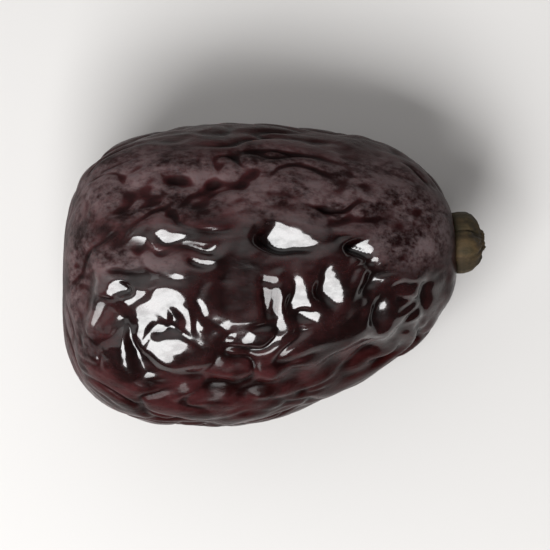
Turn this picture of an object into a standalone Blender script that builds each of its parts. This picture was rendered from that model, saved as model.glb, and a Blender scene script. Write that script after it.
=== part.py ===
"""A ripe ajwa date, lying on its side as picked: the wrinkled fruit and the woody calyx on its neck.

Metres, +Z up. +X runs along the date from its blunt apex to the calyx. The origin is under the
middle of the date's bounding box, on the surface that the date rests on.
The shape is worked out in millimetres and scaled down when the meshes are made.
"""
import math

import bmesh
import bpy
import numpy as np
from mathutils import Vector, noise

MM = 0.001

# Fruit
LENGTH, WIDTH, HEIGHT = 30.4, 23.0, 20.5
CROWN = 11.2               # from the apex to the widest girth
APEX_BLUNT = 2.6           # superellipse power of the apex end: 2 is an ellipse, more is squarer
NECK_BLUNT = 2.05
APEX_SLANT = 0.035         # how much farther the apex end reaches on its +Y side, for each mm across
NECK_BEND = 2.9            # how far the neck swings to +Y
NECK_DIP = 4.5             # degrees that the neck hangs lower than the apex
NECK_LEAN = 0.12           # how far the calyx faces to +Y, for each mm along
SEAT_DEPTH, SEAT_RADIUS = 0.7, 2.8    # hollow in the neck's end, under the calyx
FLAT_DEPTH = 0.45          # how much of the underside is pressed flat where it rests
SHAPE_CUTS = 96            # grid cells along each side of the cube that the skin is modelled on
GRID_STRETCH = (1.3, 1, 1)                     # the date is longer than it is wide, so its grid is too
FRUIT_TRIANGLES = 9800

# Skin
LUMP_HEIGHT, LUMP_SPAN = 0.75, (9, 9, 9)       # broad lumps
FOLD_DEPTH, FOLD_SPAN = 0.75, (9.5, 4.4)       # long folds: depth, and length and breadth of their plates
WRINKLE_DEPTH, WRINKLE_SPAN = 0.34, (5.2, 2.1)
FOLD_SWIRL, WRINKLE_SWIRL = 3.5, 2.5           # how far folds and wrinkles bend to and fro
SWIRL_SPAN = (6, 5, 5)
CREASE_SHARPNESS, VALLEY_ROUNDING = 0.09, 0.06
POLE_CALM = (1.5, 7.0)     # from the axis: no relief inside the first, all of it beyond the second
UPPER_SIDE = (-1, 4)       # heights over the middle between which the folds seen from above take over
UNDERSIDE = (-6, -9.5)     # heights between which the weight of the date flattens the relief
NEARBY = 0.001             # step between neighbouring directions, to find which way the body faces

# Creases of the upper side, seen from above: (x, y) points from the fruit's middle, depth, half-width
UPPER_CREASES = {
    "long one from the apex": ([(-13.4, 0.3), (-10.4, 0.2), (-8.4, 0.4), (-6.2, -0.2), (-4.8, -1.4)], 0.15, 0.3),
    "right of the dimple": ([(-10.5, -1.6), (-9.9, -3.8), (-9.1, -6.2), (-6.0, -7.6)], 0.42, 0.45),
    "hook in the glossy patch": ([(-7.0, -2.0), (-6.4, -3.4), (-6.9, -4.5), (-8.2, -4.0)], 0.22, 0.35),
    "above the apex plate": ([(-11.2, 2.2), (-7.6, 2.3), (-4.8, 2.0), (-1.8, 2.9)], 0.35, 0.45),
    "round the neck lump": ([(5.8, 2.9), (8.1, 1.5), (8.8, 0.0), (8.2, -2.2), (6.8, -4.0)], 0.55, 0.75),
    "below the middle": ([(-4.4, -5.6), (0.0, -6.3), (3.0, -6.4), (7.4, -5.2)], 0.25, 0.8),
    "long one on the flank": ([(-10.5, -7.6), (-4.5, -7.9), (0.0, -8.4), (5.0, -7.4), (9.5, -5.8),
                               (12.8, -2.6)], 0.7, 0.9),
    "on the shoulder": ([(4.4, 5.8), (6.4, 4.5), (9.4, 4.2)], 0.3, 0.6),
}
LIP_RISE = 0.06            # how high a crease's lips swell, as a share of its depth

# Ridges of the upper side, given the same way, with their height
UPPER_RIDGES = {
    "by the crater": ([(-5.0, -2.2), (-4.7, -3.4), (-4.1, -4.6)], 0.2, 0.6),
}

# Slanting creases on the shoulder beside the apex: the first one, and the step to each next one
SLANT_CREASE = [(-12.4, 4.0), (-9.8, 6.0), (-7.4, 7.4), (-5.3, 7.8)]
SLANT_STEP, SLANT_COUNT = (1.6, 0.1), 5
SLANT_DEPTH, SLANT_WIDTH = 0.42, 0.5

# The flat plates between the folds: centre, half-sizes, rise along x and y, and depth under the body
UPPER_PLATES = {
    "apex plate": ((-10.0, 1.2), (4.8, 1.4), (0.27, 0.02), 0.42),
    "glossy apex patch": ((-8.2, -2.9), (2.7, 3.3), (0.15, 0.28), 0.45),
    "tongue of the glossy patch": ((-11.1, -1.0), (1.3, 0.6), (0.15, 0.28), 0.30),
    "dimple by the apex": ((-11.3, -4.0), (1.2, 1.9), (0.55, 0.12), 0.30),
    "above the apex plate": ((-7.3, 3.3), (2.0, 0.5), (0.15, 0.30), 0.24),
    "corner of the apex plate": ((-4.4, 1.2), (1.2, 0.5), (0.20, 0.42), 0.32),
    "edge of the crater": ((-4.5, -3.1), (0.55, 1.4), (0.15, 0.28), 0.24),
    "middle hollow": ((-1.0, -1.2), (1.9, 2.4), (-0.08, 0.06), 0.40),
    "lower facet": ((-1.5, -4.3), (0.8, 0.8), (-0.10, 0.48), 0.20),
    "middle plate": ((2.7, 3.2), (2.4, 1.05), (0.14, 0.28), 0.66),
    "fan over the first cross one": ((0.9, 0.1), (0.9, 0.4), (0.15, 0.28), 0.20),
    "first cross one": ((1.7, -2.4), (0.45, 1.6), (0.22, 0.34), 0.22),
    "second cross one": ((3.3, -1.7), (0.85, 2.0), (0.15, 0.28), 0.27),
    "foot of the second one": ((4.2, -2.9), (1.3, 0.4), (0.14, 0.29), 0.22),
    "neck lump": ((5.7, -0.7), (1.1, 1.6), (0.15, 0.28), 0.30),
    "rim of the neck plate": ((8.2, 2.3), (1.2, 0.6), (0.19, -0.04), 0.38),
    "neck plate": ((11.3, 3.8), (2.9, 2.6), (-0.60, -0.28), 0.28),
    "first one on the neck": ((9.7, -3.2), (0.8, 1.8), (-0.08, 0.42), 0.25),
    "second one on the neck": ((13.2, -1.8), (0.7, 1.6), (-0.3, 0.5), 0.20),
    "apex end": ((-14.6, 0.0), (1.8, 6.5), (1.5, 0.05), 0.20),
}
PLATE_EDGE = 0.08          # how softly a plate meets the round skin
PLATE_WAVE = 0.08          # how uneven the plates are
PLATE_WAVE_SPAN = (2.2, 1.6, 2.0)              # how long, broad and high their waves are
WANDER, WANDER_SPAN = 0.7, (2.2, 2.2, 2.2)     # how far folds and plate edges stray from the places above
UNEVENNESS = 0.45          # how much a fold's depth and width vary, as a share
UNEVENNESS_SPAN = (1.9, 1.9, 1.9)

# Calyx
CALYX_RADIUS = 2.55
CALYX_SIDES = 48
CALYX_GAP = 0.3            # to the skin under it
CALYX_NOTCH = 0.2          # depth of the notches between its three lobes, as a share of the radius
CALYX_CUP = 0.16           # how three-cornered the cup in its middle is, as a share of the radius
CALYX_OVERLAP = 0.12       # step where one lobe lies over the next
CALYX_GROOVE = 0.4         # depth of the groove between two lobes, as a share of their height
CALYX_ROUGHNESS = 0.12
# From the middle to the rim: share of the radius, and height above the gap
CALYX_PROFILE = [(0.12, 1.75), (0.20, 2.1), (0.28, 2.15), (0.34, 1.9), (0.45, 1.8), (0.58, 1.75),
                 (0.70, 1.6), (0.80, 1.45), (0.88, 1.25), (0.95, 1.0), (1.0, 0.6)]
NECK_AXIS = np.array([math.cos(math.radians(NECK_DIP)), NECK_LEAN, -math.sin(math.radians(NECK_DIP))])


def smoothstep(low, high, value):
    share = np.clip((value - low) / (high - low), 0, 1)
    return share * share * (3 - 2 * share)


def blend(first, second, share):
    return first + (second - first) * share


def unit(vectors):
    return vectors / np.linalg.norm(vectors, axis=1)[:, None]


def noise_field(points, spans, seed):
    """Smooth noise from -1 to 1 at each point, with its lumps about as large as the spans."""
    places = points / np.array(spans) + np.array(seed)
    return np.array([noise.noise(Vector(place)) for place in places])


def smooth_route(points, steps=6):
    """The points of a Catmull-Rom curve through the given ones."""
    knots = [np.array(point) for point in points]
    knots = [2 * knots[0] - knots[1]] + knots + [2 * knots[-1] - knots[-2]]
    route = []
    for before, start, end, after in zip(knots, knots[1:], knots[2:], knots[3:]):
        for step in range(steps):
            t = step / steps
            route.append(0.5 * (2 * start + (end - before) * t
                                + (2 * before - 5 * start + 4 * end - after) * t ** 2
                                + (3 * start - before - 3 * end + after) * t ** 3))
    return route + [knots[-2]]


def fold_along(places, points, height, width):
    """Height at each (x, y) place of a ridge, or of a crease if negative, with the skin beside it drawn in.

    It tapers out at both ends of the line of points.
    """
    route = smooth_route(points)
    nearest = np.full(len(places), np.inf)
    taper = np.zeros(len(places))
    for number, (start, end) in enumerate(zip(route, route[1:])):
        along = end - start
        share = np.clip((places - start) @ along / (along @ along), 0, 1)
        distance = np.linalg.norm(places - start - share[:, None] * along, axis=1)
        closer = distance < nearest
        nearest = np.where(closer, distance, nearest)
        progress = (number + share) / (len(route) - 1)
        taper = np.where(closer, smoothstep(0, 0.3, progress) * smoothstep(1, 0.7, progress), taper)
    middle = np.exp(-(nearest / width) ** 2)
    lips = (np.exp(-((nearest - 2.0 * width) / (1.8 * width)) ** 2) - middle) * (height < 0)
    return height * taper * (middle - LIP_RISE * lips)


def body(directions):
    """The unwrinkled date: a point for each unit direction from the middle of its widest girth.

    Returns the points about the date's own straight axis, and the same points where they lie.
    """
    along = directions[:, 0]
    across = np.sqrt(1 - np.minimum(along ** 2, 1))
    share = smoothstep(-1, 1, along)
    reach = blend(CROWN, LENGTH - CROWN + SEAT_DEPTH, share)
    blunt = blend(APEX_BLUNT, NECK_BLUNT, share)
    radius = ((np.abs(along) / reach) ** blunt + (across / (WIDTH / 2)) ** blunt) ** (-1 / blunt)
    own = directions * radius[:, None]
    girth = np.hypot(own[:, 1], own[:, 2])
    own[:, 0] -= SEAT_DEPTH * np.exp(-(girth / SEAT_RADIUS) ** 2) * (own[:, 0] > 0)
    lying = own * np.array([1, 1, HEIGHT / WIDTH])
    lying[:, 0] += CROWN - LENGTH / 2
    progress = np.clip(lying[:, 0] / LENGTH + 0.5, 0, 1)
    lying[:, 0] -= APEX_SLANT * lying[:, 1] * (1 - progress) ** 4
    lying[:, 1] += NECK_BEND * (progress ** 2 - 0.125)
    dip = math.radians(NECK_DIP)
    x, z = lying[:, 0].copy(), lying[:, 2].copy()
    lying[:, 0] = x * math.cos(dip) + z * math.sin(dip)
    lying[:, 2] = z * math.cos(dip) - x * math.sin(dip)
    return own, lying


def height_over(place):
    """The height of the unwrinkled date's upper side over an (x, y) place."""
    direction = np.array([[*place, HEIGHT / 2]])
    for _ in range(20):
        lying = body(unit(direction))[1][0]
        direction[0, :2] += np.array(place) - lying[:2]
    return lying[2]


def wandering(lying):
    """The (x, y) place of each point, moved a little, so that folds and plates have no drawn lines."""
    seeds = ((1, 2, 3), (5, 2, 8))
    wander = np.stack([noise_field(lying, WANDER_SPAN, seed) for seed in seeds], axis=1)
    return lying[:, :2] + WANDER * wander


def press_plates(lying, places):
    """How far each point is pressed in to lie on a plate, and how far it belongs to one, 0 to 1."""
    pressed, belongs = np.zeros(len(lying)), np.zeros(len(lying))
    wave = PLATE_WAVE * noise_field(lying, PLATE_WAVE_SPAN, (14, 6, 9))
    for centre, half_size, rise, depth in UPPER_PLATES.values():
        centre = np.array(centre)
        inside = smoothstep(1.5, 0.8, np.linalg.norm((places - centre) / np.array(half_size), axis=1))
        plate = height_over(centre) - depth + (lying[:, :2] - centre) @ np.array(rise)
        above = lying[:, 2] + wave - plate
        pressed = np.maximum(pressed, inside * PLATE_EDGE * np.logaddexp(0, above / PLATE_EDGE))
        belongs = np.maximum(belongs, inside)
    return pressed, belongs


def upper_folds(lying, places):
    """Height of the folds of the upper side, deeper in some places than in others."""
    uneven = 1 + UNEVENNESS * noise_field(lying, UNEVENNESS_SPAN, (6, 1, 4))
    height = np.zeros(len(lying))
    for points, depth, width in UPPER_CREASES.values():
        height += fold_along(places, points, -depth * uneven, width * uneven)
    for points, rise, width in UPPER_RIDGES.values():
        height += fold_along(places, points, rise * uneven, width * uneven)
    for count in range(SLANT_COUNT):
        points = np.array(SLANT_CREASE) + count * np.array(SLANT_STEP)
        height += fold_along(places, points, -SLANT_DEPTH * uneven, SLANT_WIDTH * uneven)
    return height


def crease(field):
    """A valley of depth 1 along the lines where a noise field changes sign."""
    return np.exp(-(field / CREASE_SHARPNESS) ** 2)


def rounded(field):
    """How far a noise field is from 0, with rounded valleys where it changes sign."""
    return np.sqrt(field ** 2 + VALLEY_ROUNDING ** 2)


def relief(own, lying):
    """How far the wrinkled skin stands out from the body at each point."""
    girth = np.maximum(np.hypot(own[:, 1], own[:, 2]), 0.001)
    widen = (0.4 * WIDTH / 2 + 0.6 * girth) / girth
    spread = own * np.stack([np.ones_like(widen), widen, widen], axis=1)
    grown = smoothstep(*POLE_CALM, girth)
    top = smoothstep(*UPPER_SIDE, lying[:, 2])
    pressed = smoothstep(*UNDERSIDE, lying[:, 2])
    places = wandering(lying)
    plate_depth, calm = press_plates(lying, places)
    calm *= top
    swirl_seeds = ((7, 1, 3), (2, 9, 5), (4, 6, 8))
    swirl = np.stack([noise_field(spread, SWIRL_SPAN, seed) for seed in swirl_seeds], axis=1)

    lumps = LUMP_HEIGHT * noise_field(own, LUMP_SPAN, (3, 1, 2)) * (1 - 0.6 * calm)
    length, breadth = FOLD_SPAN
    field = noise_field(spread + swirl * FOLD_SWIRL, (length, breadth, breadth), (11, 3, 7))
    open_folds = smoothstep(-0.35, 0.2, noise_field(spread, (8, 6, 6), (13, 21, 4)))
    folds = FOLD_DEPTH * (0.5 * rounded(field) - crease(field) * open_folds) * (1 - 0.8 * top)
    length, breadth = WRINKLE_SPAN
    field = noise_field(spread + swirl * WRINKLE_SWIRL, (length, breadth, breadth), (5, 13, 17))
    open_folds = smoothstep(-0.2, 0.35, noise_field(spread, (7, 5, 5), (31, 2, 9)))
    wrinkles = WRINKLE_DEPTH * (0.6 * rounded(field) - crease(field) * open_folds) * (1 - 0.9 * calm)
    upper = upper_folds(lying, places) - plate_depth
    return lumps + top * upper + (folds + wrinkles) * grown * (1 - 0.75 * pressed)


def skin(directions):
    """The points of the wrinkled skin, one for each direction."""
    own, lying = body(directions)
    near_pole = np.abs(directions[:, :1]) > 0.9
    side = unit(np.cross(directions, np.where(near_pole, (0.0, 1.0, 0.0), (1.0, 0.0, 0.0))))
    up = np.cross(directions, side)
    first = body(unit(directions + NEARBY * side))[1] - lying
    second = body(unit(directions + NEARBY * up))[1] - lying
    outward = unit(np.cross(first, second))
    outward *= np.sign(np.sum(outward * directions, axis=1))[:, None]
    return lying + outward * relief(own, lying)[:, None]


def cube_directions(cuts):
    """A cube's grid of points turned into even directions, and its bmesh."""
    grid = bmesh.new()
    bmesh.ops.create_cube(grid, size=2)
    bmesh.ops.subdivide_edges(grid, edges=grid.edges, cuts=cuts - 1, use_grid_fill=True)
    corners = np.tan(np.array([vert.co for vert in grid.verts]) * math.pi / 4)
    return unit(corners * np.array(GRID_STRETCH)), grid


def add_object(name, mesh_data, material):
    mesh = bpy.data.meshes.new(name)
    mesh_data.to_mesh(mesh)
    mesh_data.free()
    mesh.materials.append(material)
    mesh.shade_smooth()
    thing = bpy.data.objects.new(name, mesh)
    bpy.context.scene.collection.objects.link(thing)
    return thing


def plain_material(name, colour, roughness):
    material = bpy.data.materials.new(name)
    material.use_nodes = True
    shader = material.node_tree.nodes["Principled BSDF"]
    shader.inputs["Base Color"].default_value = (*colour, 1)
    shader.inputs["Roughness"].default_value = roughness
    shader.inputs["Metallic"].default_value = 0
    return material


def thin_out(thing, triangles):
    """Fewer triangles where the surface is smooth, so that the folds keep theirs."""
    thinning = thing.modifiers.new("thinning", "DECIMATE")
    thinning.ratio = triangles / (2 * len(thing.data.polygons))
    bpy.context.view_layer.objects.active = thing
    bpy.ops.object.modifier_apply(modifier=thinning.name)


def cut_flat(thing, height):
    """Cuts off what lies below a height and closes the cut with one flat face."""
    shape = bmesh.new()
    shape.from_mesh(thing.data)
    everything = shape.verts[:] + shape.edges[:] + shape.faces[:]
    cut = bmesh.ops.bisect_plane(shape, geom=everything, plane_co=(0, 0, height), plane_no=(0, 0, 1),
                                 clear_inner=True)
    rim = [edge for edge in cut["geom_cut"] if isinstance(edge, bmesh.types.BMEdge)]
    bmesh.ops.edgeloop_fill(shape, edges=rim)
    bmesh.ops.recalc_face_normals(shape, faces=shape.faces)
    shape.to_mesh(thing.data)
    shape.free()


def make_fruit():
    directions, grid = cube_directions(SHAPE_CUTS)
    points = skin(directions)
    for vert, point in zip(grid.verts, points):
        vert.co = point * MM
    fruit = add_object("date_fruit", grid, plain_material("date_skin", (0.022, 0.011, 0.012), 0.3))
    thin_out(fruit, FRUIT_TRIANGLES)
    cut_flat(fruit, (points[:, 2].min() + FLAT_DEPTH) * MM)
    return fruit


def between_lobes(angle, narrowness):
    """1 at the three angles where two lobes of the calyx meet, falling to 0 in the middle of a lobe."""
    return 1 - np.abs(np.cos(1.5 * angle)) ** narrowness


def calyx_radius(share, angle):
    """Distance from the calyx's middle at an angle: three-cornered in the cup, three-lobed at the rim."""
    notch = CALYX_NOTCH * share ** 2 * between_lobes(angle, 0.6)
    corner = CALYX_CUP * share * (1 - share) * np.cos(3 * angle)
    return CALYX_RADIUS * (share * (1 - notch) + corner)


def calyx_ring(share, height):
    """One ring of the calyx's outer face, above the skin along the neck's axis, and the ring under it."""
    angles = np.arange(CALYX_SIDES) * 2 * math.pi / CALYX_SIDES
    radii = calyx_radius(share, angles)
    reach = np.full(CALYX_SIDES, LENGTH - CROWN)
    directions = unit(np.stack([reach, radii * np.cos(angles), radii * np.sin(angles)], axis=1))
    under = skin(directions) + CALYX_GAP * NECK_AXIS
    lapping = (3 * angles / (2 * math.pi) + 0.5) % 1 - 0.5
    rise = height + CALYX_OVERLAP * lapping * smoothstep(0.55, 0.8, share)
    rise += CALYX_ROUGHNESS * noise_field(under, (1.2, 1.2, 1.2), (4, 4, 4))
    rise *= 1 - CALYX_GROOVE * between_lobes(angles, 0.35) * smoothstep(0.4, 0.75, share)
    return under, under + rise[:, None] * NECK_AXIS


def make_calyx():
    under, over = zip(*[calyx_ring(share, height) for share, height in CALYX_PROFILE])
    shape = bmesh.new()
    rings = [[shape.verts.new(point * MM) for point in ring] for ring in under + over[::-1]]
    for ring, following in zip(rings, rings[1:]):
        for side in range(CALYX_SIDES):
            after = (side + 1) % CALYX_SIDES
            shape.faces.new((ring[side], ring[after], following[after], following[side]))
    shape.faces.new(rings[0])
    shape.faces.new(rings[-1])
    bmesh.ops.triangulate(shape, faces=shape.faces)
    bmesh.ops.recalc_face_normals(shape, faces=shape.faces)
    return add_object("calyx", shape, plain_material("calyx_wood", (0.07, 0.05, 0.025), 0.75))


def stand_on_origin(things):
    """Moves the things together so that their box stands centred on the origin."""
    corners = np.array([vert.co for thing in things for vert in thing.data.vertices])
    low, high = corners.min(axis=0), corners.max(axis=0)
    shift = Vector((-(low[0] + high[0]) / 2, -(low[1] + high[1]) / 2, -low[2]))
    for thing in things:
        for vert in thing.data.vertices:
            vert.co += shift
    print("middle of the fruit in millimetres from the origin:", [round(value / MM, 3) for value in shift])
    print("size in millimetres:", [round(value / MM, 2) for value in high - low])


for old in list(bpy.data.objects):
    bpy.data.objects.remove(old)
stand_on_origin([make_fruit(), make_calyx()])
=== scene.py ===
import math

import bpy
import numpy as np
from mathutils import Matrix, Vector, noise


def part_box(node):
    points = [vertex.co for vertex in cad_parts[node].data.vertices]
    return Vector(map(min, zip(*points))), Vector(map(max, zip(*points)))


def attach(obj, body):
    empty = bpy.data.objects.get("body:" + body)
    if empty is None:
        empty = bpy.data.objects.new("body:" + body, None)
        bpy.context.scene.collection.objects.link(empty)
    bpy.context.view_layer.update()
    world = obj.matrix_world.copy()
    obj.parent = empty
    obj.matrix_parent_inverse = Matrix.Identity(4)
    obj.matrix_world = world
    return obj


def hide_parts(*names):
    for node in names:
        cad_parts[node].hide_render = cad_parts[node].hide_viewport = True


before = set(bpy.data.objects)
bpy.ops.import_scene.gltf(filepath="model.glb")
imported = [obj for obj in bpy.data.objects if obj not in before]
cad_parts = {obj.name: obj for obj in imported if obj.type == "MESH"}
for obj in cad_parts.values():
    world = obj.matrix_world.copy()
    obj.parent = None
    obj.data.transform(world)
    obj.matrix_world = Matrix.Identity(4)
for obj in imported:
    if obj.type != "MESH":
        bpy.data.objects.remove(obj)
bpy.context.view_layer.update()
bpy.ops.object.select_all(action="DESELECT")

# The fruit: one soft ripe berry, skin and flesh grown as one piece.
# Its skin shrank less than the flesh as it dried, and fell into long folds with flat plates between them.
# It is drawn out of a cube's even grid, then the underside is pressed flat where the date lies.

# The body in millimetres: its size, where its girth is widest, its two ends, and the seat of the calyx
LENGTH, WIDTH, HEIGHT = 30.4, 23.0, 20.5
CROWN = 11.2
APEX_BLUNT, NECK_BLUNT = 2.6, 2.05
APEX_SLANT, NECK_BEND, NECK_DIP = 0.035, 2.9, 4.5
SEAT_DEPTH, SEAT_RADIUS = 0.7, 2.8
FLAT_DEPTH = 0.45
SKIN_CELLS, GRID_STRETCH, GRID_LIFT = 128, (1.3, 1, 1), (0, 0, 0.12)

# The relief all round: height or depth, how large its pattern is, how far it swirls, and where it has gaps
LUMP_HEIGHT, LUMP_SPAN = 0.75, (9, 9, 9)
FOLD_DEPTH, FOLD_SPAN, FOLD_SWIRL = 0.75, (9.5, 4.4), 3.5
FOLD_GAPS, FOLD_GAP_SPAN = (-0.35, 0.2), (8, 6, 6)
WRINKLE_DEPTH, WRINKLE_SPAN, WRINKLE_SWIRL = 0.34, (5.2, 2.1), 2.5
WRINKLE_GAPS, WRINKLE_GAP_SPAN = (-0.2, 0.35), (7, 5, 5)
SWIRL_SPAN, END_SPREAD = (6, 5, 5), 0.4
CREASE_SHARPNESS, VALLEY_ROUNDING = 0.09, 0.06

# The finest wrinkles, which only this model has, are given the same way
RIPPLE_DEPTH, RIPPLE_SPAN, RIPPLE_SWIRL = 0.16, (2.6, 1.1), 2.0
CRINKLE_DEPTH, CRINKLE_SPAN, CRINKLE_SWIRL = 0.06, (1.2, 0.5), 1.5
FINE_GAPS, FINE_GAP_SPAN, FEWEST_FINE = (-0.3, 0.3), (6, 6, 6), 0.25

# Where relief begins or ends: distances from the fruit's axis, then heights over the girth
POLE_CALM, UPPER_SIDE, UNDERSIDE = (1.5, 7.0), (-1, 4), (-6, -9.5)

# What share of the relief is lost on a flat plate, and what share of the folds above and underneath
LUMPS_LOST, WRINKLES_LOST, RIPPLES_LOST = 0.6, 0.9, 0.5
FOLDS_LOST_ABOVE, FOLDS_LOST_BELOW = 0.8, 0.75

# Creases of the upper side, seen from above: (x, y) points from the fruit's middle, depth, half-width
UPPER_CREASES = {
    "long one from the apex": ([(-13.4, 0.3), (-10.4, 0.2), (-8.4, 0.4), (-6.2, -0.2), (-4.8, -1.4)],
                               0.15, 0.3),
    "right of the dimple": ([(-10.5, -1.6), (-9.9, -3.8), (-9.1, -6.2), (-6.0, -7.6)], 0.42, 0.45),
    "hook in the glossy patch": ([(-7.0, -2.0), (-6.4, -3.4), (-6.9, -4.5), (-8.2, -4.0)], 0.22, 0.35),
    "above the apex plate": ([(-11.2, 2.2), (-7.6, 2.3), (-4.8, 2.0), (-1.8, 2.9)], 0.35, 0.45),
    "round the neck lump": ([(5.8, 2.9), (8.1, 1.5), (8.8, 0.0), (8.2, -2.2), (6.8, -4.0)], 0.55, 0.75),
    "below the middle": ([(-4.4, -5.6), (0.0, -6.3), (3.0, -6.4), (7.4, -5.2)], 0.25, 0.8),
    "long one on the flank": ([(-10.5, -7.6), (-4.5, -7.9), (0.0, -8.4), (5.0, -7.4), (9.5, -5.8),
                               (12.8, -2.6)], 0.7, 0.9),
    "on the shoulder": ([(4.4, 5.8), (6.4, 4.5), (9.4, 4.2)], 0.3, 0.6),
}
LIP_RISE = 0.06

# Ridges of the upper side, given the same way, with their height
UPPER_RIDGES = {
    "by the crater": ([(-5.0, -2.2), (-4.7, -3.4), (-4.1, -4.6)], 0.2, 0.6),
}

# Slanting creases on the shoulder beside the apex: the first one, and the step to each next one
SLANT_CREASE = [(-12.4, 4.0), (-9.8, 6.0), (-7.4, 7.4), (-5.3, 7.8)]
SLANT_STEP, SLANT_COUNT = (1.6, 0.1), 5
SLANT_DEPTH, SLANT_WIDTH = 0.42, 0.5

# The flat plates between the folds: centre, half-sizes, rise along x and y, and depth under the body
UPPER_PLATES = {
    "apex plate": ((-10.0, 1.2), (4.8, 1.4), (0.27, 0.02), 0.42),
    "glossy apex patch": ((-8.2, -2.9), (2.7, 3.3), (0.15, 0.28), 0.45),
    "tongue of the glossy patch": ((-11.1, -1.0), (1.3, 0.6), (0.15, 0.28), 0.30),
    "dimple by the apex": ((-11.3, -4.0), (1.2, 1.9), (0.55, 0.12), 0.30),
    "above the apex plate": ((-7.3, 3.3), (2.0, 0.5), (0.15, 0.30), 0.24),
    "corner of the apex plate": ((-4.4, 1.2), (1.2, 0.5), (0.20, 0.42), 0.32),
    "edge of the crater": ((-4.5, -3.1), (0.55, 1.4), (0.15, 0.28), 0.24),
    "middle hollow": ((-1.0, -1.2), (1.9, 2.4), (-0.08, 0.06), 0.40),
    "lower facet": ((-1.5, -4.3), (0.8, 0.8), (-0.10, 0.48), 0.20),
    "middle plate": ((2.7, 3.2), (2.4, 1.05), (0.14, 0.28), 0.66),
    "fan over the first cross one": ((0.9, 0.1), (0.9, 0.4), (0.15, 0.28), 0.20),
    "first cross one": ((1.7, -2.4), (0.45, 1.6), (0.22, 0.34), 0.22),
    "second cross one": ((3.3, -1.7), (0.85, 2.0), (0.15, 0.28), 0.27),
    "foot of the second one": ((4.2, -2.9), (1.3, 0.4), (0.14, 0.29), 0.22),
    "neck lump": ((5.7, -0.7), (1.1, 1.6), (0.15, 0.28), 0.30),
    "rim of the neck plate": ((8.2, 2.3), (1.2, 0.6), (0.19, -0.04), 0.38),
    "neck plate": ((11.3, 3.8), (2.9, 2.6), (-0.60, -0.28), 0.28),
    "first one on the neck": ((9.7, -3.2), (0.8, 1.8), (-0.08, 0.42), 0.25),
    "second one on the neck": ((13.2, -1.8), (0.7, 1.6), (-0.3, 0.5), 0.20),
    "apex end": ((-14.6, 0.0), (1.8, 6.5), (1.5, 0.05), 0.20),
}

# Only this finer model has the fan beside the middle hollow and the creases that part it
FINE_PLATES = {
    "fan": ((1.0, -1.5), (0.9, 1.6), (0.20, 0.30), 0.27),
}
FINE_CREASES = {
    "left one in the fan": ([(0.1, 0.6), (0.45, -1.4), (0.8, -3.8)], 0.14, 0.22),
    "right one in the fan": ([(0.8, 0.6), (1.25, -1.2), (1.35, -3.8)], 0.20, 0.24),
}

# How softly a plate meets the round skin, how it waves, and how far folds and plates stray and vary
PLATE_EDGE, PLATE_WAVE, PLATE_WAVE_SPAN = 0.08, 0.08, (2.2, 1.6, 2.0)
WANDER, WANDER_SPAN = 0.7, (2.2, 2.2, 2.2)
UNEVENNESS, UNEVENNESS_SPAN = 0.45, (1.9, 1.9, 1.9)


def smoothstep(low, high, value):
    share = np.clip((value - low) / (high - low), 0, 1)
    return share * share * (3 - 2 * share)


def blend(first, second, share):
    return first + (second - first) * share


def unit(vectors):
    return vectors / np.linalg.norm(vectors, axis=1)[:, None]


def noise_field(points, spans, seed):
    """Smooth noise from -1 to 1 at each point, its lumps about as large as the spans; the seed picks it."""
    places = points / np.array(spans) + np.array(seed)
    return np.array([noise.noise(Vector(place)) for place in places])


def smooth_route(points, steps=6):
    """The points of a Catmull-Rom curve through the given ones."""
    knots = [np.array(point) for point in points]
    knots = [2 * knots[0] - knots[1]] + knots + [2 * knots[-1] - knots[-2]]
    route = []
    for before, start, end, after in zip(knots, knots[1:], knots[2:], knots[3:]):
        for step in range(steps):
            t = step / steps
            route.append(0.5 * (2 * start + (end - before) * t
                                + (2 * before - 5 * start + 4 * end - after) * t ** 2
                                + (3 * start - before - 3 * end + after) * t ** 3))
    return route + [knots[-2]]


def fold_along(places, points, height, width):
    """Height at each (x, y) place of a ridge, or a crease if negative, with the skin beside it drawn in.

    It tapers out at both ends of the line of points.
    """
    route = smooth_route(points)
    nearest = np.full(len(places), np.inf)
    taper = np.zeros(len(places))
    for number, (start, end) in enumerate(zip(route, route[1:])):
        along = end - start
        share = np.clip((places - start) @ along / (along @ along), 0, 1)
        distance = np.linalg.norm(places - start - share[:, None] * along, axis=1)
        closer = distance < nearest
        nearest = np.where(closer, distance, nearest)
        progress = (number + share) / (len(route) - 1)
        taper = np.where(closer, smoothstep(0, 0.3, progress) * smoothstep(1, 0.7, progress), taper)
    middle = np.exp(-(nearest / width) ** 2)
    lips = (np.exp(-((nearest - 2.0 * width) / (1.8 * width)) ** 2) - middle) * (height < 0)
    return height * taper * (middle - LIP_RISE * lips)


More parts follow.
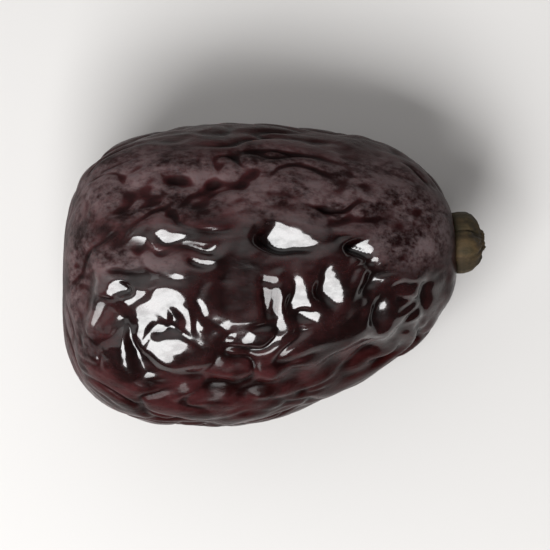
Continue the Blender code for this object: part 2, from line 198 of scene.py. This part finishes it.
def body(directions):
    """The unwrinkled date about its own straight axis, and the same points where they lie."""
    along = directions[:, 0]
    across = np.sqrt(1 - np.minimum(along ** 2, 1))
    share = smoothstep(-1, 1, along)
    reach = blend(CROWN, LENGTH - CROWN + SEAT_DEPTH, share)
    blunt = blend(APEX_BLUNT, NECK_BLUNT, share)
    radius = ((np.abs(along) / reach) ** blunt + (across / (WIDTH / 2)) ** blunt) ** (-1 / blunt)
    own = directions * radius[:, None]
    girth = np.hypot(own[:, 1], own[:, 2])
    own[:, 0] -= SEAT_DEPTH * np.exp(-(girth / SEAT_RADIUS) ** 2) * (own[:, 0] > 0)
    lying = own * np.array([1, 1, HEIGHT / WIDTH])
    lying[:, 0] += CROWN - LENGTH / 2
    progress = np.clip(lying[:, 0] / LENGTH + 0.5, 0, 1)
    lying[:, 0] -= APEX_SLANT * lying[:, 1] * (1 - progress) ** 4
    lying[:, 1] += NECK_BEND * (progress ** 2 - 0.125)
    dip = math.radians(NECK_DIP)
    x, z = lying[:, 0].copy(), lying[:, 2].copy()
    lying[:, 0] = x * math.cos(dip) + z * math.sin(dip)
    lying[:, 2] = z * math.cos(dip) - x * math.sin(dip)
    return own, lying


SEARCH_ROUNDS = 20


def height_over(place):
    """The height of the unwrinkled date's upper side over an (x, y) place, closed in on round by round."""
    direction = np.array([[*place, HEIGHT / 2]])
    for _ in range(SEARCH_ROUNDS):
        lying = body(unit(direction))[1][0]
        direction[0, :2] += np.array(place) - lying[:2]
    return lying[2]


def wandering(lying):
    """The (x, y) place of each point, moved a little, so that folds and plates have no drawn lines."""
    seeds = ((1, 2, 3), (5, 2, 8))
    wander = np.stack([noise_field(lying, WANDER_SPAN, seed) for seed in seeds], axis=1)
    return lying[:, :2] + WANDER * wander


def press_plates(lying, places):
    """How far each point is pressed in to lie on a plate, and how far it belongs to one, 0 to 1."""
    pressed, belongs = np.zeros(len(lying)), np.zeros(len(lying))
    wave = PLATE_WAVE * noise_field(lying, PLATE_WAVE_SPAN, (14, 6, 9))
    for centre, half_size, rise, depth in (UPPER_PLATES | FINE_PLATES).values():
        centre = np.array(centre)
        inside = smoothstep(1.5, 0.8, np.linalg.norm((places - centre) / np.array(half_size), axis=1))
        plate = height_over(centre) - depth + (lying[:, :2] - centre) @ np.array(rise)
        above = lying[:, 2] + wave - plate
        pressed = np.maximum(pressed, inside * PLATE_EDGE * np.logaddexp(0, above / PLATE_EDGE))
        belongs = np.maximum(belongs, inside)
    return pressed, belongs


def upper_folds(lying, places):
    """Height of the folds of the upper side, deeper in some places than in others."""
    uneven = 1 + UNEVENNESS * noise_field(lying, UNEVENNESS_SPAN, (6, 1, 4))
    height = np.zeros(len(lying))
    for points, depth, width in (UPPER_CREASES | FINE_CREASES).values():
        height += fold_along(places, points, -depth * uneven, width * uneven)
    for points, rise, width in UPPER_RIDGES.values():
        height += fold_along(places, points, rise * uneven, width * uneven)
    for count in range(SLANT_COUNT):
        points = np.array(SLANT_CREASE) + count * np.array(SLANT_STEP)
        height += fold_along(places, points, -SLANT_DEPTH * uneven, SLANT_WIDTH * uneven)
    return height


def crease(field):
    """A valley of depth 1 along the lines where a noise field changes sign."""
    return np.exp(-(field / CREASE_SHARPNESS) ** 2)


def rounded(field):
    """How far a noise field is from 0, with rounded valleys where it changes sign."""
    return np.sqrt(field ** 2 + VALLEY_ROUNDING ** 2)


def drawn_out(points, span, seed):
    """Noise with lumps of one length along the fruit and one breadth across it."""
    length, breadth = span
    return noise_field(points, (length, breadth, breadth), seed)


def relief(own, lying, fine):
    """How far the skin stands out from the body at each point, with or without the finest wrinkles."""
    girth = np.maximum(np.hypot(own[:, 1], own[:, 2]), 0.001)
    # Towards the two ends the pattern is spread out, so that its folds don't crowd there
    widen = (END_SPREAD * WIDTH / 2 + (1 - END_SPREAD) * girth) / girth
    spread = own * np.stack([np.ones_like(widen), widen, widen], axis=1)
    grown = smoothstep(*POLE_CALM, girth)
    top = smoothstep(*UPPER_SIDE, lying[:, 2])
    pressed = smoothstep(*UNDERSIDE, lying[:, 2])
    places = wandering(lying)
    plate_depth, calm = press_plates(lying, places)
    calm *= top
    swirl_seeds = ((7, 1, 3), (2, 9, 5), (4, 6, 8))
    swirl = np.stack([noise_field(spread, SWIRL_SPAN, seed) for seed in swirl_seeds], axis=1)

    lumps = LUMP_HEIGHT * noise_field(own, LUMP_SPAN, (3, 1, 2)) * (1 - LUMPS_LOST * calm)
    field = drawn_out(spread + swirl * FOLD_SWIRL, FOLD_SPAN, (11, 3, 7))
    deep = crease(field) * smoothstep(*FOLD_GAPS, noise_field(spread, FOLD_GAP_SPAN, (13, 21, 4)))
    folds = FOLD_DEPTH * (0.5 * rounded(field) - deep) * (1 - FOLDS_LOST_ABOVE * top)
    field = drawn_out(spread + swirl * WRINKLE_SWIRL, WRINKLE_SPAN, (5, 13, 17))
    deep = crease(field) * smoothstep(*WRINKLE_GAPS, noise_field(spread, WRINKLE_GAP_SPAN, (31, 2, 9)))
    wrinkles = WRINKLE_DEPTH * (0.6 * rounded(field) - deep) * (1 - WRINKLES_LOST * calm)
    upper = upper_folds(lying, places) - plate_depth
    height = lumps + top * upper + (folds + wrinkles) * grown * (1 - FOLDS_LOST_BELOW * pressed)
    if fine:
        busy = smoothstep(*FINE_GAPS, noise_field(spread, FINE_GAP_SPAN, (8, 12, 19)))
        busy = np.maximum(blend(FEWEST_FINE, 1, busy), calm)
        field = drawn_out(spread + swirl * RIPPLE_SWIRL, RIPPLE_SPAN, (25, 3, 1))
        height += RIPPLE_DEPTH * (0.2 - rounded(field)) * grown * busy * (1 - RIPPLES_LOST * calm)
        field = drawn_out(spread + swirl * CRINKLE_SWIRL, CRINKLE_SPAN, (2, 3, 1))
        height += CRINKLE_DEPTH * (0.2 - rounded(field)) * busy
    return height


# The small turn of a direction that shows which way the body's surface faces there
NEARBY = 0.001


def skin(directions, fine=True):
    """The points of the wrinkled skin, one for each direction."""
    own, lying = body(directions)
    near_pole = np.abs(directions[:, :1]) > 0.9
    side = unit(np.cross(directions, np.where(near_pole, (0.0, 1.0, 0.0), (1.0, 0.0, 0.0))))
    up = np.cross(directions, side)
    first = body(unit(directions + NEARBY * side))[1] - lying
    second = body(unit(directions + NEARBY * up))[1] - lying
    outward = unit(np.cross(first, second))
    outward *= np.sign(np.sum(outward * directions, axis=1))[:, None]
    return lying + outward * relief(own, lying, fine)[:, None]


def vertex_places(mesh):
    places = np.empty(len(mesh.vertices) * 3)
    mesh.vertices.foreach_get("co", places)
    return places.reshape(-1, 3)


def move_vertices(mesh, places):
    mesh.vertices.foreach_set("co", places.astype(np.float32).ravel())
    mesh.update()


bpy.ops.mesh.primitive_cube_add(size=2)
fruit = bpy.context.object
fruit.name = "fruit_skin"
bpy.ops.object.mode_set(mode="EDIT")
bpy.ops.mesh.select_all(action="SELECT")
bpy.ops.mesh.subdivide(number_cuts=SKIN_CELLS - 1)
bpy.ops.object.mode_set(mode="OBJECT")
corners = np.tan(vertex_places(fruit.data) * math.pi / 4)
crowded_up = unit(corners * np.array(GRID_STRETCH)) + np.array(GRID_LIFT)
grown = skin(unit(crowded_up))

# Pressed flat underneath, and set into the solid fruit's box
MM = 0.001
fruit_low, fruit_high = (np.array(corner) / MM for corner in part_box("date_fruit"))
grown[:, 2] = np.maximum(grown[:, 2], grown[:, 2].min() + FLAT_DEPTH)
grown_low, grown_high = grown.min(axis=0), grown.max(axis=0)
box_scale = (fruit_high - fruit_low) / (grown_high - grown_low)


def into_box(points):
    """Millimetres about the fruit's middle become metres in the object's frame."""
    return (fruit_low + (points - grown_low) * box_scale) * MM


move_vertices(fruit.data, into_box(grown))
bpy.ops.object.mode_set(mode="EDIT")
bpy.ops.mesh.select_all(action="SELECT")
bpy.ops.mesh.vertices_smooth(factor=0.5, repeat=2)
bpy.ops.object.mode_set(mode="OBJECT")
bpy.ops.object.shade_smooth()


def hollowness(mesh, spread_rounds):
    """How far each vertex lies below its neighbours, in millimetres, evened out over the surface."""
    places = vertex_places(mesh)
    edges = np.empty(len(mesh.edges) * 2, dtype=int)
    mesh.edges.foreach_get("vertices", edges)
    first, second = edges.reshape(-1, 2).T
    count = np.bincount(edges, minlength=len(places))

    def neighbour_mean(values):
        total = np.bincount(first, values[second], len(places))
        total += np.bincount(second, values[first], len(places))
        return total / count

    smooth = places.copy()
    for _ in range(spread_rounds):
        smooth = np.stack([neighbour_mean(smooth[:, axis]) for axis in range(3)], axis=1)
    normals = np.empty(len(places) * 3)
    mesh.vertices.foreach_get("normal", normals)
    return np.sum((smooth - places) * normals.reshape(-1, 3), axis=1) / MM


def store(mesh, name, values):
    layer = mesh.attributes.new(name, "FLOAT", "POINT")
    layer.data.foreach_set("value", values.astype(np.float32))


def out_of(centre, half_size):
    """How far each vertex lies from a patch's middle, seen from above: 1 is on the patch's edge."""
    return np.linalg.norm((grown[:, :2] - np.array(centre)) / np.array(half_size), axis=1)


# Where the skin lies in a crease: how far its neighbours are evened out, and how many mm are a full crease
CREASE_REACH, CREASE_FULL = 14, 0.12
hollow = hollowness(fruit.data, CREASE_REACH) / CREASE_FULL
store(fruit.data, "hollow", np.clip(0.5 + 0.5 * hollow, 0, 1))

# Where it is wet with syrup, and where dry and dusty with a painted sheen: centre, half-sizes, and how much
DRY_PLACES = {
    "apex end": ((-16.0, 0.5), (3.8, 11.0), 1.0),
    "apex plate": ((-10.4, 1.2), (5.0, 1.3), 0.85),
    "apex shoulder": ((-8.5, 7.2), (8.5, 3.2), 1.0),
    "middle": ((0.6, 7.4), (5.0, 3.2), 1.0),
    "neck shoulder": ((7.5, 6.6), (6.5, 3.2), 1.15),
    "neck plate": ((11.7, 3.9), (3.7, 3.5), 1.4),
}
DRY_PATCH_SPAN = (7, 7, 7)
dry = np.zeros(len(grown))
for centre, half_size, dryness in DRY_PLACES.values():
    dry = np.maximum(dry, dryness * smoothstep(1.25, 0.55, out_of(centre, half_size)))
dry_patches = smoothstep(-0.2, 0.3, noise_field(grown, DRY_PATCH_SPAN, (9, 9, 2)))
under_dry = smoothstep(0, -5, grown[:, 2]) * dry_patches
store(fruit.data, "dry", blend(under_dry, dry, smoothstep(-4, 2, grown[:, 2])))

WET_PLACES = {
    "apex patch": ((-8.0, -3.0), (6.0, 5.0), 1.0),
    "above the apex plate": ((-7.2, 3.3), (2.8, 0.8), 1.0),
    "neck rim": ((8.3, 2.4), (1.6, 1.0), 1.0),
    "middle": ((2.0, -0.4), (8.0, 5.6), 1.0),
    "neck": ((10.3, -2.2), (4.4, 3.5), 1.0),
    "fan": ((0.7, -1.2), (1.0, 2.2), 0.5),
    "dimple by the apex": ((-12.4, -3.4), (1.6, 2.4), 0.5),
}
SIDE_WETNESS = 0.06
wet = np.zeros(len(grown))
for centre, half_size, wetness in WET_PLACES.values():
    wet = blend(wet, wetness, smoothstep(1.15, 0.75, out_of(centre, half_size)))
store(fruit.data, "wet", blend(SIDE_WETNESS, wet, smoothstep(0, 4, grown[:, 2])))


class Socket:
    """A shader node's output that takes part in Python sums: each operator adds its Math node."""

    def __init__(self, finish, socket):
        self.finish = finish
        self.socket = socket

    def math(self, operation, first, second):
        return self.finish.node("ShaderNodeMath", {"operation": operation}, {0: first, 1: second})

    def __add__(self, other):
        return self.math("ADD", self, other)

    def __sub__(self, other):
        return self.math("SUBTRACT", self, other)

    def __rsub__(self, other):
        return self.math("SUBTRACT", other, self)

    def __mul__(self, other):
        return self.math("MULTIPLY", self, other)

    __radd__ = __add__
    __rmul__ = __mul__


class Nodes:
    """A node tree that is filled one node at a time, and the place that its patterns read."""

    def __init__(self, tree, place):
        self.tree = tree
        self.place = self.node("ShaderNodeTexCoord", {}, {}, place)

    def node(self, kind, settings, inputs, output=0):
        made = self.tree.nodes.new(kind)
        for setting, value in settings.items():
            setattr(made, setting, value)
        for socket, value in inputs.items():
            if isinstance(value, Socket):
                self.tree.links.new(value.socket, made.inputs[socket])
            else:
                made.inputs[socket].default_value = value
        return Socket(self, made.outputs[output])

    def noise(self, size, detail, stretch=(1, 1, 1), roughness=0.5):
        """Noise from 0 to 1 whose lumps are about the given size in metres."""
        place = self.node("ShaderNodeMapping", {}, {"Vector": self.place, "Scale": stretch})
        return self.node("ShaderNodeTexNoise", {}, {"Vector": place, "Scale": 1 / size, "Detail": detail,
                                                    "Roughness": roughness})

    def attribute(self, name):
        return self.node("ShaderNodeAttribute", {"attribute_name": name}, {}, "Fac")

    def ramp(self, value, low, high):
        """0 below low, 1 above high, and a smooth step between."""
        return self.node("ShaderNodeMapRange", {"interpolation_type": "SMOOTHSTEP"},
                         {"Value": value, "From Min": low, "From Max": high})

    def mix(self, share, first, second):
        return self.node("ShaderNodeMix", {"data_type": "RGBA"}, {0: share, 6: first, 7: second}, 2)

    def bump(self, height, depth, under=None):
        inputs = {"Height": height, "Distance": depth, "Strength": 1}
        if under:
            inputs["Normal"] = under
        return self.node("ShaderNodeBump", {}, inputs)


class Finish(Nodes):
    """A material; constants are set on its Principled shader's own sockets, and feed links the others."""

    def __init__(self, name, constants):
        self.material = bpy.data.materials.new(name)
        self.material.use_nodes = True
        super().__init__(self.material.node_tree, "Object")
        self.shader = self.tree.nodes["Principled BSDF"]
        for socket, value in constants.items():
            self.shader.inputs[socket].default_value = value

    def feed(self, socket, value):
        self.tree.links.new(value.socket, self.shader.inputs[socket])


# Near-black purple-brown skin under a coat of syrup, greyish where it is dry (dust bloom with a painted
# sheen), with painted shade in the creases and a painted red glow low on the flanks
PITCH, INK, PLUM = (0.002, 0.0004, 0.0004, 1), (0.0085, 0.0020, 0.0020, 1), (0.046, 0.0125, 0.0135, 1)
WINE, BLOOM_AND_SHEEN = (0.016, 0.0011, 0.0008, 1), (0.134, 0.100, 0.102, 1)
MOTTLE_SIZE, SPECKLE_SIZE, SMEAR_SIZE = 0.0035, 0.0006, 0.0012
GRAIN_SIZE, GRAIN_DEPTH = 0.00045, 0.00003
LOW_FLANK = (0.009, 0.0185)
finish = Finish("date_skin", {
    "Metallic": 0,
    "IOR": 1.46,
    "Specular IOR Level": 0.08,
    "Coat Roughness": 0.11,
    "Coat IOR": 1.6,
    "Subsurface Weight": 0.12,
    "Subsurface Radius": (1.0, 0.22, 0.14),
    "Subsurface Scale": 0.0018,
})
hollow, dry, wet = finish.attribute("hollow"), finish.attribute("dry"), finish.attribute("wet")
mottle = finish.noise(MOTTLE_SIZE, 4, (1, 1.6, 1.6), 0.6)
speckle = finish.noise(SPECKLE_SIZE, 3, (1, 1.5, 1.5), 0.65)
level = finish.node("ShaderNodeSeparateXYZ", {}, {"Vector": finish.place}, "Z")
# Painted light: low on the flanks the skin is mixed towards dark red, a painted glow of light shining
# through the thin skin
low_flank = 1 - finish.ramp(level, *LOW_FLANK)
colour = finish.mix(finish.ramp(mottle, 0.35, 0.68), INK, PLUM)
colour = finish.mix(low_flank * finish.ramp(mottle, 0.15, 0.50) * 0.85, colour, WINE)
colour = finish.mix(wet * 0.55, colour, PITCH)
# Painted shade: the skin is darkened towards near-black in its creases
colour = finish.mix(finish.ramp(hollow, 0.52, 0.90) * 0.7, colour, PITCH)
# Dust bloom and a painted sheen: dry raised skin is lightened towards grey
raised = 1 - finish.ramp(hollow, 0.42, 0.62)
dust_and_sheen = dry * raised * finish.ramp(mottle * 0.6 + speckle * 0.4, 0.37, 0.62)
colour = finish.mix(dust_and_sheen * 0.65, colour, BLOOM_AND_SHEEN)
finish.feed("Base Color", colour)
finish.feed("Roughness", 0.30 + 0.20 * dry + (speckle - 0.5) * 0.22)
syrup = finish.ramp(1 - dry + (mottle - 0.5) * 0.5, 0.15, 0.75)
smear = 0.75 + 0.25 * finish.ramp(finish.noise(SMEAR_SIZE, 3, (1, 1.6, 1.6), 0.6), 0.34, 0.60)
finish.feed("Coat Weight", (0.05 + 0.95 * wet) * syrup * smear)
grain = finish.noise(GRAIN_SIZE, 4, (1, 1.8, 1.8), 0.6)
finish.feed("Normal", finish.bump(grain, GRAIN_DEPTH))
fruit.data.materials.append(finish.material)

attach(fruit, "root")
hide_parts("date_fruit")


# The calyx: the dry cap of the flower, three overlapping lobes round a three-cornered cup.
# It turned to brown wood and grew fast to the neck, and the fruit hung from its middle.
# It is a sphere whose lower half is pulled down on the skin, the upper half out along the neck's axis.

# In millimetres: its radius, the gap to the skin under its lobes, and how deep its base sits in the skin
CALYX_RADIUS, CALYX_GAP, CALYX_SINK = 2.55, 0.3, 0.1
NECK_LEAN = 0.12
CALYX_SIDES, CALYX_RINGS = 192, 60
CALYX_NOTCH, CALYX_CUP, CALYX_OVERLAP = 0.2, 0.16, 0.12
CALYX_GROOVE, CALYX_ROUGHNESS = 0.4, 0.12
FIBRE_DEPTH, FIBRE_PATTERN = 0.16, (5, 5, 1.5)
CRUMPLE_DEPTH, CRUMPLE_SPAN = 0.14, (0.6, 0.6, 0.6)
CREVICE_REACH, CREVICE_FULL = 6, 0.08

# From the middle to the rim: share of the radius, and height above the gap to the skin
CALYX_PROFILE = [(0.0, 1.7), (0.12, 1.75), (0.20, 2.1), (0.28, 2.15), (0.34, 1.9), (0.45, 1.8),
                 (0.58, 1.75), (0.70, 1.6), (0.80, 1.45), (0.88, 1.25), (0.95, 1.0), (1.0, 0.6)]
NECK_AXIS = np.array([math.cos(math.radians(NECK_DIP)), NECK_LEAN, -math.sin(math.radians(NECK_DIP))])


def between_lobes(angle, narrowness):
    """1 at the three angles where two lobes of the calyx meet, falling to 0 in the middle of a lobe."""
    return 1 - np.abs(np.cos(1.5 * angle)) ** narrowness


bpy.ops.object.select_all(action="DESELECT")
bpy.ops.mesh.primitive_uv_sphere_add(segments=CALYX_SIDES, ring_count=CALYX_RINGS, radius=1)
calyx = bpy.context.object
calyx.name = "calyx_cap"
ball = vertex_places(calyx.data)
share = 1 - np.abs(np.arcsin(np.clip(ball[:, 2], -1, 1))) * 2 / math.pi
angle = np.arctan2(ball[:, 1], ball[:, 0])
notch = CALYX_NOTCH * share ** 2 * between_lobes(angle, 0.6)
corner = CALYX_CUP * share * (1 - share) * np.cos(3 * angle)
radius = CALYX_RADIUS * (share * (1 - notch) + corner)
reach = np.full(len(ball), LENGTH - CROWN)
seat = skin(unit(np.stack([reach, radius * np.cos(angle), radius * np.sin(angle)], axis=1)), fine=False)
rise = np.interp(share, *zip(*CALYX_PROFILE))
lapping = (3 * angle / (2 * math.pi) + 0.5) % 1 - 0.5
rise += CALYX_OVERLAP * lapping * smoothstep(0.55, 0.8, share)
rise += CALYX_ROUGHNESS * noise_field(seat, (1.2, 1.2, 1.2), (4, 4, 4))
rise *= 1 - CALYX_GROOVE * between_lobes(angle, 0.35) * smoothstep(0.4, 0.75, share)
round_rim = np.stack([np.cos(angle), np.sin(angle), share], axis=1) * np.array(FIBRE_PATTERN)
fibres = noise_field(round_rim, (1, 1, 1), (0, 0, 0))
rise -= FIBRE_DEPTH * (0.5 + fibres) * smoothstep(0.05, 0.4, share)
crumpled = seat + rise[:, None] * NECK_AXIS
rise -= CRUMPLE_DEPTH * np.abs(noise_field(crumpled, CRUMPLE_SPAN, (6, 6, 1)))
upper, rim = ball[:, 2] > 0.001, share > 0.995
stand = np.where(upper, CALYX_GAP + rise, np.where(rim, CALYX_GAP + rise / 2, -CALYX_SINK))
capped = into_box(seat + stand[:, None] * NECK_AXIS)
capped[:, 0] = np.minimum(capped[:, 0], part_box("calyx")[1].x)
move_vertices(calyx.data, capped)
bpy.ops.object.mode_set(mode="EDIT")
bpy.ops.mesh.select_all(action="SELECT")
bpy.ops.mesh.normals_make_consistent(inside=False)
bpy.ops.object.mode_set(mode="OBJECT")
bpy.ops.object.shade_smooth()
crevices = hollowness(calyx.data, CREVICE_REACH) / CREVICE_FULL
store(calyx.data, "hollow", np.clip(0.5 + 0.5 * crevices, 0, 1))
store(calyx.data, "fibre", np.clip(0.5 + fibres, 0, 1))

# Straw-coloured fibre, stained olive, and bark-brown between the threads; all three colours partly darkened
# as a painted shade, and the crevices darkened to bark-brown as painted shade
# Partly painted shade: all three colours are kept darker than the calyx's own dry tone
STRAW, BARK, MOSS = (0.078, 0.050, 0.022, 1), (0.012, 0.007, 0.003, 1), (0.030, 0.023, 0.010, 1)
STAIN_SIZE, THREAD_SIZE, THREAD_DEPTH = 0.0016, 0.0003, 0.00009
finish = Finish("calyx_wood", {"Metallic": 0, "Roughness": 0.72, "Specular IOR Level": 0.25})
hollow, fibre = finish.attribute("hollow"), finish.attribute("fibre")
stain = finish.noise(STAIN_SIZE, 4, (1, 1, 1), 0.6)
thread = finish.noise(THREAD_SIZE, 3, (0.4, 1, 1), 0.6)
colour = finish.mix(finish.ramp(stain, 0.35, 0.65), STRAW, MOSS)
# Painted shade: the calyx is darkened towards bark-brown in its crevices
colour = finish.mix(finish.ramp(hollow, 0.5, 0.85) * 0.85, colour, BARK)
colour = finish.mix(finish.ramp(thread * 0.6 + fibre * 0.4, 0.42, 0.72) * 0.5, colour, BARK)
finish.feed("Base Color", colour)
finish.feed("Normal", finish.bump(thread, THREAD_DEPTH))
calyx.data.materials.append(finish.material)

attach(calyx, "root")
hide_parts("calyx")


# The stage: a pale sheet under two soft boxes and a faint sky that glows on one side.
# The camera looks straight down, and the date lies in the picture with its apex left and its calyx right.
bpy.ops.object.select_all(action="DESELECT")
FLOOR_SIZE = 3
bpy.ops.mesh.primitive_plane_add(size=FLOOR_SIZE)
floor = bpy.context.object
floor.name = "floor"
finish = Finish("pale_sheet", {"Base Color": (0.55, 0.54, 0.53, 1), "Roughness": 0.6})
floor.data.materials.append(finish.material)

SKY_COLOUR, SKY_STRENGTH = (1, 0.985, 0.98, 1), 0.05
GLOW_DIRECTION, GLOW_STRENGTH = (-0.25, 0.66, 0.71), 0.8
surroundings = bpy.data.worlds.new("surroundings")
surroundings.use_nodes = True
sky = Nodes(surroundings.node_tree, "Generated")
toward_glow = sky.node("ShaderNodeVectorMath", {"operation": "DOT_PRODUCT"},
                       {0: sky.place, 1: GLOW_DIRECTION}, "Value")
strength = SKY_STRENGTH + GLOW_STRENGTH * sky.ramp(toward_glow, 0.45, 1.0)
background = sky.tree.nodes["Background"]
background.inputs["Color"].default_value = SKY_COLOUR
sky.tree.links.new(strength.socket, background.inputs["Strength"])
bpy.context.scene.world = surroundings

# Direction from the date, size and power in watts
SOFT_BOXES = {
    "window": ((-0.24, -0.49, 0.835), (0.20, 0.15), 1.40),
    "left_wall": ((-0.85, 0.10, 0.40), (0.30, 0.22), 0.18),
}
LIGHT_DISTANCE = 0.3
for name, (direction, size, power) in SOFT_BOXES.items():
    place = Vector(direction).normalized() * LIGHT_DISTANCE
    turned = (-place).to_track_quat("-Z", "Y").to_euler()
    bpy.ops.object.light_add(type="AREA", location=place, rotation=turned)
    light = bpy.context.object
    light.name = name
    light.data.shape = "RECTANGLE"
    light.data.size, light.data.size_y = size
    light.data.energy = power

# How high the camera is, and how wide the picture is where the date lies, in metres
CAMERA_HEIGHT, PICTURE_WIDTH = 0.45, 0.0435
bpy.ops.object.camera_add(location=(0, 0, CAMERA_HEIGHT), rotation=(0, 0, 0))
camera = bpy.context.object
camera.data.lens = camera.data.sensor_width * CAMERA_HEIGHT / PICTURE_WIDTH
bpy.context.scene.camera = camera
bpy.context.scene.view_settings.view_transform = "Standard"
